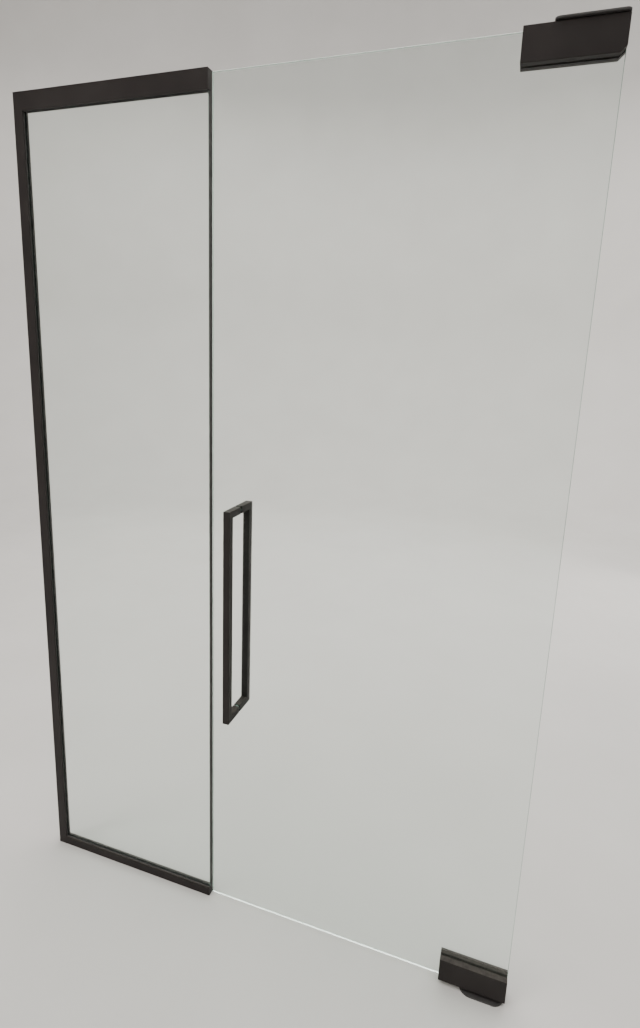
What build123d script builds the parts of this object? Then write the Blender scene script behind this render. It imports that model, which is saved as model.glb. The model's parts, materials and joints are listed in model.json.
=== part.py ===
from build123d import *
import os

os.makedirs("parts", exist_ok=True)

# The entrance stands between floor and ceiling. X runs along the glass, Y goes into the room and
# Z is up. The origin is on the floor, midway along the entrance, in the middle of the glass.
ceiling_height = 2438.0
sidelight_width = 610.0
meeting_gap = 10.0
leaf_width = 925.0
leaf_floor_gap = 14.0
leaf_ceiling_gap = 9.0

# Toughened glass, one thickness for the fixed pane and the leaf, with polished edges
glass_thickness = 12.0
glass_arris = 0.8
glass_corner_radius = 2.0

# Glazing channels: one section depth and wall, three faces
channel_depth = 25.4
channel_wall = 3.0
header_face = 49.0
jamb_face = 31.0
sill_face = 31.0
channel_edge_radius = 0.8
groove_depth = 1.2
groove_height = 2.6
groove_from_mouth = 5.0
header_lift_room = 23.0
end_cap_thickness = 1.5
end_cap_chamfer = 0.4
channel_screw_radius = 2.5
channel_screw_head_radius = 4.4
channel_screw_count = 4
rail_screw_margin = 49.5
jamb_screw_margin = 169.0

# Roll-in glazing gasket
gasket_depth = 9.0
gasket_toe = 2.0
gasket_wedge = 5.5
gasket_crown = 1.4
gasket_clearance = 0.1
barb_clearance = 0.2
strip_end_clearance = 0.3

# Rubber blocks that carry the fixed pane and space it from the jamb
block_width = 16.0
setting_block_length = 90.0
setting_block_height = 6.0
edge_block_thickness = 6.0
edge_block_length = 60.0
edge_block_count = 3
edge_block_margin = 339.0

# Bulb seal on the fixed pane's free edge
seal_width = 10.0
seal_base = 1.2
seal_wall = 1.1
seal_clearance = 0.6

# Patch fittings: shared build-up from the glass outwards
patch_half_depth = 23.0
patch_gasket_thickness = 1.0
cover_wall = 1.6
cover_clearance = 0.3
cover_edge_radius = 1.5
cover_corner_radius = 1.5
cheek_clearance = 0.1
notch_clearance = 1.5
notch_radius = 8.0
insert_corner_radius = 4.0
recess_clearance = 0.4
pivot_inset = 65.0
pivot_clearance = 0.6

bottom_patch_length = 185.0
bottom_patch_height = 71.5
bottom_patch_overhang = 1.0
bottom_notch_length = 130.0
bottom_notch_height = 58.0
top_patch_length = 200.0
top_patch_height = 69.0
top_patch_overhang = 3.0
top_notch_length = 130.0
top_notch_height = 51.0
top_corner_cut = 12.0

# Clamp bolts: positions are distances from the leaf's wall edge and from the fitting's outer edge
bolt_radius = 4.0
bolt_hole_clearance = 0.2
bolt_thread_clearance = 0.05
bolt_head_radius = 6.5
bolt_head_height = 6.0
bolt_head_pocket = 7.0
bolt_pocket_clearance = 0.3
bolt_socket_radius = 3.4
bolt_socket_depth = 3.5
bolt_end_gap = 2.0
bottom_bolts = [(18.0, 51.0), (65.0, 51.0), (112.0, 51.0)]
top_bolts = [(22.0, 26.0), (108.0, 26.0), (65.0, 45.0)]

# Hydraulic closer in the lower notch
barrel_radius = 15.0
barrel_rise = 27.0
barrel_start = 12.0
spindle_housing_radius = 17.0
spindle_housing_height = 43.0
end_plug_radius = 11.5
end_plug_length = 8.0
end_plug_clearance = 0.02
end_plug_socket_radius = 4.6
end_plug_socket_depth = 4.0
valve_radius = 3.0
valve_length = 9.0
valve_sink = 0.8
valve_clearance = 0.05
valve_slot_width = 1.0
valve_slot_depth = 1.4
valve_rises = [11.0, 43.0]

# Lower pivot
floor_plate_length = 124.0
floor_plate_width = 62.0
floor_plate_thickness = 4.0
floor_hole_spacing = (90.0, 34.0)
plate_edge_chamfer = 1.0
plate_hole_radius = 2.75
plate_head_radius = 5.0
spindle_radius = 8.0
spindle_height = 46.0
spindle_sink = 0.2
spindle_collar_radius = 10.5
spindle_collar_gap = 0.3
spindle_fit = 0.02
pivot_end_chamfer = 1.0
running_clearance = 0.05
bearing_radius = 11.0
bearing_length = 14.0
spindle_bore_clearance = 0.1
spindle_bore_depth = 36.0

# Upper pivot: its plate is centred a little further into the opening than the axis
ceiling_plate_length = 140.0
ceiling_plate_width = 58.0
ceiling_plate_thickness = 4.0
ceiling_plate_corner = 10.0
ceiling_plate_shift = 5.0
ceiling_hole_spacing = (112.0, 34.0)
pivot_pin_radius = 7.5
pivot_pin_reach = 26.0
pin_sink = 0.3
bush_radius = 10.5
bush_length = 28.0
bush_fit = 0.02
bush_floor = 0.5
boss_radius = 14.0
boss_height = 36.0

# Pull handle, one on each face, held through the glass
handle_bar = 20.0
handle_centres = 620.0
handle_middle_height = 1016.0
handle_from_edge = 80.0
handle_projection = 72.5
handle_edge_radius = 1.0
handle_hole_radius = 8.0
washer_thickness = 1.0
stud_radius = 4.0
stud_clearance = 0.1
stud_reach = 24.0
stud_hole_extra = 1.0
sleeve_clearance = 0.1
set_screw_radius = 2.5
set_screw_from_glass = 18.0
set_screw_sink = 0.8
set_screw_gap = 0.1
set_screw_clearance = 0.05
set_screw_socket_radius = 1.4
set_screw_socket_depth = 2.0

# Places worked out from the sizes above
total_width = sidelight_width + meeting_gap + leaf_width
wall_face = -total_width / 2
free_edge = wall_face + sidelight_width
leaf_left = free_edge + meeting_gap
leaf_right = leaf_left + leaf_width
leaf_top = ceiling_height - leaf_ceiling_gap
half_glass = glass_thickness / 2
pocket_width = channel_depth - 2 * channel_wall
jamb_inner = wall_face + jamb_face
rail_length = sidelight_width - jamb_face
rail_middle = jamb_inner + rail_length / 2
rail_screw_pitch = (rail_length - 2 * rail_screw_margin) / (channel_screw_count - 1)
jamb_screw_pitch = (ceiling_height - 2 * jamb_screw_margin) / (channel_screw_count - 1)
edge_block_pitch = (ceiling_height - 2 * edge_block_margin) / (edge_block_count - 1)
pane_left = wall_face + channel_wall + edge_block_thickness
pane_bottom = channel_wall + setting_block_height
pane_top = ceiling_height - channel_wall - header_lift_room
pivot_x = leaf_right - pivot_inset
cheek_inner = half_glass + patch_gasket_thickness
cheek_outer = patch_half_depth - cover_wall - cover_clearance
cover_inset = cover_wall + cover_clearance
cover_rim = half_glass + cover_clearance
head_seat = cheek_outer - bolt_head_pocket
insert_half = cheek_inner - cheek_clearance
bottom_patch_low = leaf_floor_gap - bottom_patch_overhang
top_patch_high = leaf_top + top_patch_overhang
bottom_notch_rise = bottom_notch_height + bottom_patch_overhang
top_notch_rise = top_notch_height + top_patch_overhang
handle_x = leaf_left + handle_from_edge
handle_arms = [handle_middle_height - handle_centres / 2, handle_middle_height + handle_centres / 2]
washer_outer = half_glass + washer_thickness

sides = {"front": -1, "back": 1}


def save(piece, name):
    """Label a finished piece and write it as one STEP file."""
    piece.label = name
    export_step(piece, f"parts/{name}.step")


# Glazing channels

# The web lies on the local X axis and the mouth opens towards local Y, so one plane per channel
# turns the same section into the header, the jamb and the sill.
header_plane = Plane(origin=(free_edge, 0, ceiling_height), x_dir=(0, 1, 0), z_dir=(-1, 0, 0))
sill_plane = Plane(origin=(jamb_inner, 0, 0), x_dir=(0, 1, 0), z_dir=(1, 0, 0))
jamb_plane = Plane(origin=(wall_face, 0, ceiling_height), x_dir=(0, 1, 0), z_dir=(0, 0, -1))


def channel_section(face):
    """U section with a gasket groove near the mouth of each leg."""
    with BuildSketch() as section:
        Rectangle(channel_depth, face, align=(Align.CENTER, Align.MIN))
        with Locations((0, channel_wall)):
            Rectangle(pocket_width, face, align=(Align.CENTER, Align.MIN), mode=Mode.SUBTRACT)
        with Locations((0, face - groove_from_mouth)):
            Rectangle(pocket_width + 2 * groove_depth, groove_height, mode=Mode.SUBTRACT)
        fillet(section.vertices().group_by(Axis.Y)[0], channel_edge_radius)
    return section.sketch


with BuildPart() as header_channel:
    with BuildSketch(header_plane):
        add(channel_section(header_face))
    extrude(amount=rail_length)
    with Locations(Plane((rail_middle, 0, ceiling_height - channel_wall), (1, 0, 0), (0, 0, -1))):
        with GridLocations(rail_screw_pitch, 0, channel_screw_count, 1):
            CounterSinkHole(channel_screw_radius, channel_screw_head_radius, channel_wall)
save(header_channel.part, "header_channel")

with BuildPart() as sill_channel:
    with BuildSketch(sill_plane):
        add(channel_section(sill_face))
    extrude(amount=rail_length)
    with Locations(Plane((rail_middle, 0, channel_wall))):
        with GridLocations(rail_screw_pitch, 0, channel_screw_count, 1):
            CounterSinkHole(channel_screw_radius, channel_screw_head_radius, channel_wall)
save(sill_channel.part, "sill_channel")

with BuildPart() as jamb_channel:
    with BuildSketch(jamb_plane):
        add(channel_section(jamb_face))
    extrude(amount=ceiling_height)
    with Locations(Plane((wall_face + channel_wall, 0, ceiling_height / 2), (0, 0, 1), (1, 0, 0))):
        with GridLocations(jamb_screw_pitch, 0, channel_screw_count, 1):
            CounterSinkHole(channel_screw_radius, channel_screw_head_radius, channel_wall)
save(jamb_channel.part, "jamb_channel")

# Flat caps close the header and the sill at the pane's free edge.
capped_ends = {"header": (ceiling_height - header_face, header_face), "sill": (0, sill_face)}
for channel, (low_edge, face) in capped_ends.items():
    with BuildPart() as end_cap:
        with BuildSketch(Plane.YZ.offset(free_edge)) as plate:
            with Locations((0, low_edge)):
                Rectangle(channel_depth, face, align=(Align.CENTER, Align.MIN))
            fillet(plate.vertices(), channel_edge_radius)
        extrude(amount=end_cap_thickness)
        chamfer(end_cap.faces().sort_by(Axis.X)[-1].edges(), end_cap_chamfer)
    save(end_cap.part, f"{channel}_end_cap")


# Fixed pane with its gaskets, blocks and edge seal

with BuildPart() as sidelight_glass:
    with BuildSketch(Plane.XZ) as pane:
        with Locations(((pane_left + free_edge) / 2, (pane_bottom + pane_top) / 2)):
            Rectangle(free_edge - pane_left, pane_top - pane_bottom)
        fillet(pane.vertices(), glass_corner_radius)
    extrude(amount=half_glass, both=True)
    chamfer(sidelight_glass.faces().filter_by(Axis.Y).edges(), glass_arris)
save(sidelight_glass.part, "sidelight_glass")


def gasket_section(face, side):
    """Wedge between a channel leg and the glass, with a crowned head and a barb in the leg's groove."""
    leg = side * pocket_width / 2
    pane = side * (half_glass + gasket_clearance)
    heel = face - gasket_depth
    barb = groove_depth - barb_clearance
    with BuildSketch() as section:
        with BuildLine():
            toe = leg - side * gasket_toe
            Polyline((pane, face), (pane, face - gasket_wedge), (toe, heel), (leg, heel), (leg, face))
            ThreePointArc((leg, face), ((leg + pane) / 2, face + gasket_crown), (pane, face))
        make_face()
        with Locations((leg + side * barb / 2, face - groove_from_mouth)):
            Rectangle(barb, groove_height - 2 * barb_clearance)
    return section.sketch


jamb_gasket_top = header_face + gasket_crown + strip_end_clearance
jamb_gasket_length = ceiling_height - jamb_gasket_top - sill_face - gasket_crown - strip_end_clearance
gasket_runs = {
    "header": (header_plane, header_face, rail_length),
    "sill": (sill_plane, sill_face, rail_length),
    "jamb": (jamb_plane.offset(jamb_gasket_top), jamb_face, jamb_gasket_length),
}
for run, (plane, face, length) in gasket_runs.items():
    for side, sign in sides.items():
        with BuildPart() as gasket:
            with BuildSketch(plane):
                add(gasket_section(face, sign))
            extrude(amount=length)
        save(gasket.part, f"{run}_gasket_{side}")

# The setting blocks carry the pane at its quarter points.
with BuildPart() as setting_blocks:
    with BuildSketch(Plane.XY.offset(channel_wall)):
        with Locations((rail_middle, 0)):
            with GridLocations(rail_length / 2, 0, 2, 1):
                Rectangle(setting_block_length, block_width)
    extrude(amount=setting_block_height)
save(setting_blocks.part, "setting_blocks")

with BuildPart() as jamb_edge_blocks:
    with BuildSketch(Plane.YZ.offset(wall_face + channel_wall)):
        with Locations((0, ceiling_height / 2)):
            with GridLocations(0, edge_block_pitch, 1, edge_block_count):
                Rectangle(block_width, edge_block_length)
    extrude(amount=edge_block_thickness)
save(jamb_edge_blocks.part, "jamb_edge_blocks")

# The seal runs between the two end caps.
seal_low = sill_face + strip_end_clearance
seal_high = ceiling_height - header_face - strip_end_clearance
seal_reach = meeting_gap - seal_clearance
seal_half = seal_width / 2
bulb_half = seal_half - seal_wall
with BuildPart() as sidelight_edge_seal:
    with BuildSketch(Plane((free_edge, 0, seal_low))):
        with BuildLine():
            Polyline((seal_base, -seal_half), (0, -seal_half), (0, seal_half), (seal_base, seal_half))
            ThreePointArc((seal_base, seal_half), (seal_reach, 0), (seal_base, -seal_half))
        make_face()
        with BuildLine():
            Line((seal_base, -bulb_half), (seal_base, bulb_half))
            ThreePointArc((seal_base, bulb_half), (seal_reach - seal_wall, 0), (seal_base, -bulb_half))
        make_face(mode=Mode.SUBTRACT)
    extrude(amount=seal_high - seal_low)
save(sidelight_edge_seal.part, "sidelight_edge_seal")


# Pivots fixed to the building

with BuildPart() as floor_plate:
    with BuildSketch():
        with Locations((pivot_x, 0)):
            SlotOverall(floor_plate_length, floor_plate_width)
    extrude(amount=floor_plate_thickness)
    chamfer(floor_plate.faces().sort_by(Axis.Z)[-1].edges(), plate_edge_chamfer)
    with Locations((pivot_x, 0, floor_plate_thickness)):
        Hole(spindle_radius + spindle_fit, depth=floor_plate_thickness)
        with GridLocations(*floor_hole_spacing, 2, 2):
            CounterSinkHole(plate_hole_radius, plate_head_radius, floor_plate_thickness)
save(floor_plate.part, "floor_plate")

closer_low = bottom_patch_low + cover_inset
with BuildPart() as floor_spindle:
    with BuildSketch(Plane.XY.offset(spindle_sink)):
        with Locations((pivot_x, 0)):
            Circle(spindle_radius)
    extrude(amount=spindle_height - spindle_sink)
    chamfer(floor_spindle.faces().sort_by(Axis.Z)[-1].edges(), pivot_end_chamfer)
    with BuildSketch(Plane.XY.offset(floor_plate_thickness)):
        with Locations((pivot_x, 0)):
            Circle(spindle_collar_radius)
    extrude(amount=closer_low - spindle_collar_gap - floor_plate_thickness)
save(floor_spindle.part, "floor_spindle")

ceiling_plate_low = ceiling_height - ceiling_plate_thickness
ceiling_plate_x = pivot_x - ceiling_plate_shift
with BuildPart() as ceiling_plate:
    with BuildSketch(Plane.XY.offset(ceiling_plate_low)):
        with Locations((ceiling_plate_x, 0)):
            RectangleRounded(ceiling_plate_length, ceiling_plate_width, ceiling_plate_corner)
    extrude(amount=ceiling_plate_thickness)
    chamfer(ceiling_plate.faces().sort_by(Axis.Z)[0].edges(), plate_edge_chamfer)
    with Locations((pivot_x, 0, ceiling_height)):
        Hole(pivot_pin_radius + spindle_fit, depth=ceiling_plate_thickness)
    with Locations(Plane((ceiling_plate_x, 0, ceiling_plate_low), (1, 0, 0), (0, 0, -1))):
        with GridLocations(*ceiling_hole_spacing, 2, 2):
            CounterSinkHole(plate_hole_radius, plate_head_radius, ceiling_plate_thickness)
save(ceiling_plate.part, "ceiling_plate")

with BuildPart() as top_pivot_pin:
    with BuildSketch(Plane.XY.offset(top_patch_high - pivot_pin_reach)):
        with Locations((pivot_x, 0)):
            Circle(pivot_pin_radius)
    extrude(amount=ceiling_height - pin_sink - top_patch_high + pivot_pin_reach)
    chamfer(top_pivot_pin.faces().sort_by(Axis.Z)[0].edges(), pivot_end_chamfer)
save(top_pivot_pin.part, "top_pivot_pin")


# Leaf

with BuildPart() as door_glass:
    with BuildSketch(Plane.XZ) as leaf:
        with Locations((leaf_left, leaf_floor_gap)):
            Rectangle(leaf_width, leaf_top - leaf_floor_gap, align=Align.MIN)
        fillet(leaf.vertices(), glass_corner_radius)
        with BuildSketch(mode=Mode.SUBTRACT) as notches:
            with Locations((leaf_right, leaf_floor_gap)):
                Rectangle(2 * bottom_notch_length, 2 * bottom_notch_height)
            with Locations((leaf_right, leaf_top)):
                Rectangle(2 * top_notch_length, 2 * top_notch_height)
            fillet(notches.vertices(), notch_radius)
        with Locations(*[(handle_x, z) for z in handle_arms]):
            Circle(handle_hole_radius, mode=Mode.SUBTRACT)
    extrude(amount=half_glass, both=True)
    rims = [face.outer_wire() for face in door_glass.faces().filter_by(Axis.Y)]
    chamfer([edge for rim in rims for edge in rim.edges()], glass_arris)
save(door_glass.part, "door_glass")


# Patch fittings

# Local X runs from the leaf's wall edge towards its middle, and local Y from the fitting's outer
# edge into the glass, so both fittings share their outlines. The normal is +Y below and -Y above.
bottom_plane = Plane(origin=(leaf_right, 0, bottom_patch_low), x_dir=(-1, 0, 0), z_dir=(0, 1, 0))
top_plane = Plane(origin=(leaf_right, 0, top_patch_high), x_dir=(-1, 0, 0), z_dir=(0, -1, 0))


def patch_outline(length, height, inset, corner_cut):
    """Outline of a fitting, pulled in by an inset, with its inner wall-side corner cut when asked."""
    with BuildSketch() as outline:
        with Locations((inset, inset)):
            Rectangle(length - 2 * inset, height - 2 * inset, align=Align.MIN)
        inner_corner = outline.vertices().sort_by(Axis.Y)[-2:].sort_by(Axis.X)[0]
        if corner_cut:
            chamfer(inner_corner, corner_cut)
        fillet(outline.vertices(), cover_corner_radius)
    return outline.sketch


def toward(plane, sign):
    """Sign of an offset along a fitting's normal that leads to the front or to the back."""
    return sign * plane.z_dir.Y


def cover(plane, sign, length, height, corner_cut, pivot_radius):
    """Tray that hides a cheek: its rim stays clear of the glass and its edge clear of the pivot."""
    step = toward(plane, sign)
    with BuildPart() as tray:
        with BuildSketch(plane.offset(step * cover_rim)):
            add(patch_outline(length, height, 0, corner_cut))
        extrude(amount=step * (patch_half_depth - cover_rim))
        fillet(tray.faces().sort_by(Axis((0, 0, 0), (0, sign, 0)))[-1].edges(), cover_edge_radius)
        with BuildSketch(plane.offset(step * cover_rim)):
            add(patch_outline(length, height, cover_wall, corner_cut))
        extrude(amount=step * (patch_half_depth - cover_wall - cover_rim), mode=Mode.SUBTRACT)
        with BuildSketch(Plane((pivot_x, 0, plane.origin.Z))):
            Circle(pivot_radius + pivot_clearance)
        extrude(amount=cover_inset, both=True, mode=Mode.SUBTRACT)
    return tray.part


def bolt_passages(plane, sign, places):
    """Holes for the clamp bolts: head pockets and clearance in front, threads in the back."""
    step = toward(plane, sign)
    radius = bolt_radius + (bolt_hole_clearance if sign < 0 else bolt_thread_clearance)
    with BuildPart() as passages:
        with BuildSketch(plane):
            with Locations(*places):
                Circle(radius)
        extrude(amount=step * patch_half_depth)
        if sign < 0:
            with BuildSketch(plane.offset(step * head_seat)):
                with Locations(*places):
                    Circle(bolt_head_radius + bolt_pocket_clearance)
            extrude(amount=step * bolt_head_pocket)
    return passages.part


def cheek(plane, sign, length, height, corner_cut, hollow, places):
    """Clamping plate inside a cover, hollowed around the insert and drilled for the bolts."""
    with BuildPart() as plate:
        with BuildSketch(plane.offset(toward(plane, sign) * cheek_inner)):
            add(patch_outline(length, height, cover_inset, corner_cut))
        extrude(amount=toward(plane, sign) * (cheek_outer - cheek_inner))
        add(hollow, mode=Mode.SUBTRACT)
        add(bolt_passages(plane, sign, places), mode=Mode.SUBTRACT)
    return plate.part


def clamp_gasket(plane, sign, length, height, corner_cut, notch_length, notch_rise):
    """Sheet between a cheek and the glass, cut away over the notch."""
    with BuildPart() as sheet:
        with BuildSketch(plane.offset(toward(plane, sign) * half_glass)):
            add(patch_outline(length, height, cover_inset, corner_cut))
            Rectangle(2 * notch_length, 2 * notch_rise, mode=Mode.SUBTRACT)
        extrude(amount=toward(plane, sign) * patch_gasket_thickness)
    return sheet.part


def clamp_bolts(plane, places):
    """Socket head bolts, heads in the front cheek, ends in the back cheek."""
    step = toward(plane, -1)
    with BuildPart() as bolts:
        with BuildSketch(plane.offset(step * head_seat)):
            with Locations(*places):
                Circle(bolt_head_radius)
        extrude(amount=step * bolt_head_height)
        with BuildSketch(plane.offset(step * head_seat)):
            with Locations(*places):
                Circle(bolt_radius)
        extrude(amount=-step * (head_seat + cheek_outer - bolt_end_gap))
        with BuildSketch(plane.offset(step * (head_seat + bolt_head_height))):
            with Locations(*places):
                RegularPolygon(bolt_socket_radius, 6)
        extrude(amount=-step * bolt_socket_depth, mode=Mode.SUBTRACT)
    return bolts.part


# Lower fitting: hydraulic closer, cheeks recessed around it, gaskets, covers and bolts

barrel_z = bottom_patch_low + barrel_rise
barrel_near = leaf_right - barrel_start
barrel_length = bottom_notch_length - notch_clearance - barrel_start
housing_top = bottom_patch_low + spindle_housing_height
closer_length = bottom_notch_length - notch_clearance - cover_inset
closer_rise = bottom_notch_rise - notch_clearance - cover_inset

with BuildPart() as closer_body:
    with BuildSketch(bottom_plane) as web:
        with Locations((cover_inset, cover_inset)):
            Rectangle(closer_length, closer_rise, align=Align.MIN)
        fillet(web.vertices(), insert_corner_radius)
    extrude(amount=insert_half, both=True)
    with BuildSketch(Plane.YZ.offset(barrel_near)):
        with Locations((0, barrel_z)):
            Circle(barrel_radius)
    extrude(amount=-barrel_length)
    with BuildSketch(Plane.XY.offset(closer_low)):
        with Locations((pivot_x, 0)):
            Circle(spindle_housing_radius)
    extrude(amount=housing_top - closer_low)
    with BuildSketch(Plane.YZ.offset(barrel_near - barrel_length)):
        with Locations((0, barrel_z)):
            Circle(end_plug_radius + end_plug_clearance)
    extrude(amount=end_plug_length, mode=Mode.SUBTRACT)
    with BuildSketch(Plane.XY.offset(closer_low)):
        with Locations((pivot_x, 0)):
            Circle(bearing_radius + bush_fit)
    extrude(amount=bearing_length, mode=Mode.SUBTRACT)
    with BuildSketch(Plane.XY.offset(closer_low)):
        with Locations((pivot_x, 0)):
            Circle(spindle_radius + spindle_bore_clearance)
    extrude(amount=spindle_bore_depth, mode=Mode.SUBTRACT)
    with BuildSketch(Plane.YZ.offset(leaf_right - cover_inset)):
        with Locations(*[(0, bottom_patch_low + rise) for rise in valve_rises]):
            Circle(valve_radius + valve_clearance)
    extrude(amount=-valve_length, mode=Mode.SUBTRACT)
    with BuildSketch(bottom_plane):
        with Locations(*bottom_bolts):
            Circle(bolt_radius + bolt_hole_clearance)
    extrude(amount=insert_half, both=True, mode=Mode.SUBTRACT)
save(closer_body.part, "closer_body")

with BuildPart() as closer_end_plug:
    with BuildSketch(Plane.YZ.offset(barrel_near - barrel_length)):
        with Locations((0, barrel_z)):
            Circle(end_plug_radius)
    extrude(amount=end_plug_length)
    with BuildSketch(Plane.YZ.offset(barrel_near - barrel_length)):
        with Locations((0, barrel_z)):
            RegularPolygon(end_plug_socket_radius, 6)
    extrude(amount=end_plug_socket_depth, mode=Mode.SUBTRACT)
save(closer_end_plug.part, "closer_end_plug")

with BuildPart() as speed_valves:
    with BuildSketch(Plane.YZ.offset(leaf_right - cover_inset - valve_sink)):
        with Locations(*[(0, bottom_patch_low + rise) for rise in valve_rises]):
            Circle(valve_radius)
    extrude(amount=valve_sink - valve_length)
    with BuildSketch(Plane.YZ.offset(leaf_right - cover_inset - valve_sink)):
        with Locations(*[(0, bottom_patch_low + rise) for rise in valve_rises]):
            Rectangle(2 * valve_radius, valve_slot_width)
    extrude(amount=-valve_slot_depth, mode=Mode.SUBTRACT)
save(speed_valves.part, "speed_valves")

with BuildPart() as spindle_bearing:
    with BuildSketch(Plane.XY.offset(closer_low)):
        with Locations((pivot_x, 0)):
            Circle(bearing_radius)
            Circle(spindle_radius + running_clearance, mode=Mode.SUBTRACT)
    extrude(amount=bearing_length)
save(spindle_bearing.part, "spindle_bearing")

with BuildPart() as closer_room:
    with BuildSketch(Plane.YZ.offset(barrel_near + recess_clearance)):
        with Locations((0, barrel_z)):
            Circle(barrel_radius + recess_clearance)
    extrude(amount=-barrel_length - 2 * recess_clearance)
    with BuildSketch():
        with Locations((pivot_x, 0)):
            Circle(spindle_housing_radius + recess_clearance)
    extrude(amount=housing_top + recess_clearance)

bottom_size = (bottom_patch_length, bottom_patch_height, 0)
for side, sign in sides.items():
    save(cheek(bottom_plane, sign, *bottom_size, closer_room.part, bottom_bolts), f"bottom_cheek_{side}")
    save(
        clamp_gasket(bottom_plane, sign, *bottom_size, bottom_notch_length, bottom_notch_rise),
        f"bottom_gasket_{side}",
    )
    save(cover(bottom_plane, sign, *bottom_size, spindle_collar_radius), f"bottom_cover_{side}")
save(clamp_bolts(bottom_plane, bottom_bolts), "bottom_patch_bolts")


# Upper fitting: insert with its bush, cheeks, gaskets, covers and bolts

insert_high = top_patch_high - cover_inset
insert_length = top_notch_length - notch_clearance - cover_inset
insert_rise = top_notch_rise - notch_clearance - cover_inset
boss_low = top_patch_high - boss_height

with BuildPart() as top_patch_body:
    with BuildSketch(top_plane) as web:
        with Locations((cover_inset, cover_inset)):
            Rectangle(insert_length, insert_rise, align=Align.MIN)
        fillet(web.vertices(), insert_corner_radius)
    extrude(amount=insert_half, both=True)
    with BuildSketch(Plane.XY.offset(boss_low)):
        with Locations((pivot_x, 0)):
            Circle(boss_radius)
    extrude(amount=insert_high - boss_low)
    with BuildSketch(Plane.XY.offset(insert_high)):
        with Locations((pivot_x, 0)):
            Circle(bush_radius + bush_fit)
    extrude(amount=-bush_length - bush_floor, mode=Mode.SUBTRACT)
    with BuildSketch(top_plane):
        with Locations(*top_bolts):
            Circle(bolt_radius + bolt_hole_clearance)
    extrude(amount=insert_half, both=True, mode=Mode.SUBTRACT)
save(top_patch_body.part, "top_patch_body")

with BuildPart() as top_pivot_bush:
    with BuildSketch(Plane.XY.offset(insert_high)):
        with Locations((pivot_x, 0)):
            Circle(bush_radius)
            Circle(pivot_pin_radius + running_clearance, mode=Mode.SUBTRACT)
    extrude(amount=-bush_length)
save(top_pivot_bush.part, "top_pivot_bush")

with BuildPart() as boss_room:
    with BuildSketch(Plane.XY.offset(boss_low - recess_clearance)):
        with Locations((pivot_x, 0)):
            Circle(boss_radius + recess_clearance)
    extrude(amount=boss_height + recess_clearance)

top_size = (top_patch_length, top_patch_height, top_corner_cut)
for side, sign in sides.items():
    save(cheek(top_plane, sign, *top_size, boss_room.part, top_bolts), f"top_cheek_{side}")
    save(
        clamp_gasket(top_plane, sign, *top_size, top_notch_length, top_notch_rise), f"top_gasket_{side}"
    )
    save(cover(top_plane, sign, *top_size, pivot_pin_radius), f"top_cover_{side}")
save(clamp_bolts(top_plane, top_bolts), "top_patch_bolts")


# Pull handles, back to back through the glass

handle_low = handle_arms[0] - handle_bar / 2
handle_high = handle_arms[1] + handle_bar / 2

for side, sign in sides.items():
    with BuildPart() as handle:
        with BuildSketch(Plane.YZ.offset(handle_x)):
            with BuildLine():
                Polyline(
                    (sign * washer_outer, handle_low),
                    (sign * handle_projection, handle_low),
                    (sign * handle_projection, handle_high),
                    (sign * washer_outer, handle_high),
                    (sign * washer_outer, handle_high - handle_bar),
                    (sign * (handle_projection - handle_bar), handle_high - handle_bar),
                    (sign * (handle_projection - handle_bar), handle_low + handle_bar),
                    (sign * washer_outer, handle_low + handle_bar),
                    close=True,
                )
            make_face()
        extrude(amount=handle_bar / 2, both=True)
        at_glass = handle.faces().sort_by(Axis((0, 0, 0), (0, sign, 0)))[:2].edges()
        fillet([edge for edge in handle.edges() if edge not in at_glass], handle_edge_radius)
        with BuildSketch(Plane.XZ.offset(-sign * washer_outer)):
            with Locations(*[(handle_x, z) for z in handle_arms]):
                Circle(stud_radius + stud_clearance)
        extrude(amount=-sign * (stud_reach + stud_hole_extra), mode=Mode.SUBTRACT)
        if side == "front":
            for z in handle_arms:
                with BuildSketch(Plane.XY.offset(z - handle_bar / 2)):
                    with Locations((handle_x, -set_screw_from_glass)):
                        Circle(set_screw_radius + set_screw_clearance)
                extrude(amount=handle_bar / 2, mode=Mode.SUBTRACT)
    save(handle.part, f"handle_{side}")

with BuildPart() as handle_studs:
    with BuildSketch(Plane.XZ):
        with Locations(*[(handle_x, z) for z in handle_arms]):
            Circle(stud_radius)
    extrude(amount=washer_outer + stud_reach, both=True)
save(handle_studs.part, "handle_studs")

with BuildPart() as handle_sleeves:
    with BuildSketch(Plane.XZ):
        with Locations(*[(handle_x, z) for z in handle_arms]):
            Circle(handle_hole_radius - sleeve_clearance)
            Circle(stud_radius + stud_clearance, mode=Mode.SUBTRACT)
    extrude(amount=half_glass, both=True)
save(handle_sleeves.part, "handle_sleeves")

with BuildPart() as handle_washers:
    for sign in sides.values():
        with BuildSketch(Plane.XZ.offset(-sign * half_glass)):
            with Locations(*[(handle_x, z) for z in handle_arms]):
                Rectangle(handle_bar, handle_bar)
                Circle(stud_radius + stud_clearance, mode=Mode.SUBTRACT)
        extrude(amount=-sign * washer_thickness)
save(handle_washers.part, "handle_washers")

with BuildPart() as handle_set_screws:
    for z in handle_arms:
        screw_low = z - handle_bar / 2 + set_screw_sink
        with BuildSketch(Plane.XY.offset(screw_low)):
            with Locations((handle_x, -set_screw_from_glass)):
                Circle(set_screw_radius)
        extrude(amount=z - stud_radius - set_screw_gap - screw_low)
        with BuildSketch(Plane.XY.offset(screw_low)):
            with Locations((handle_x, -set_screw_from_glass)):
                RegularPolygon(set_screw_socket_radius, 6)
        extrude(amount=set_screw_socket_depth, mode=Mode.SUBTRACT)
save(handle_set_screws.part, "handle_set_screws")
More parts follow.
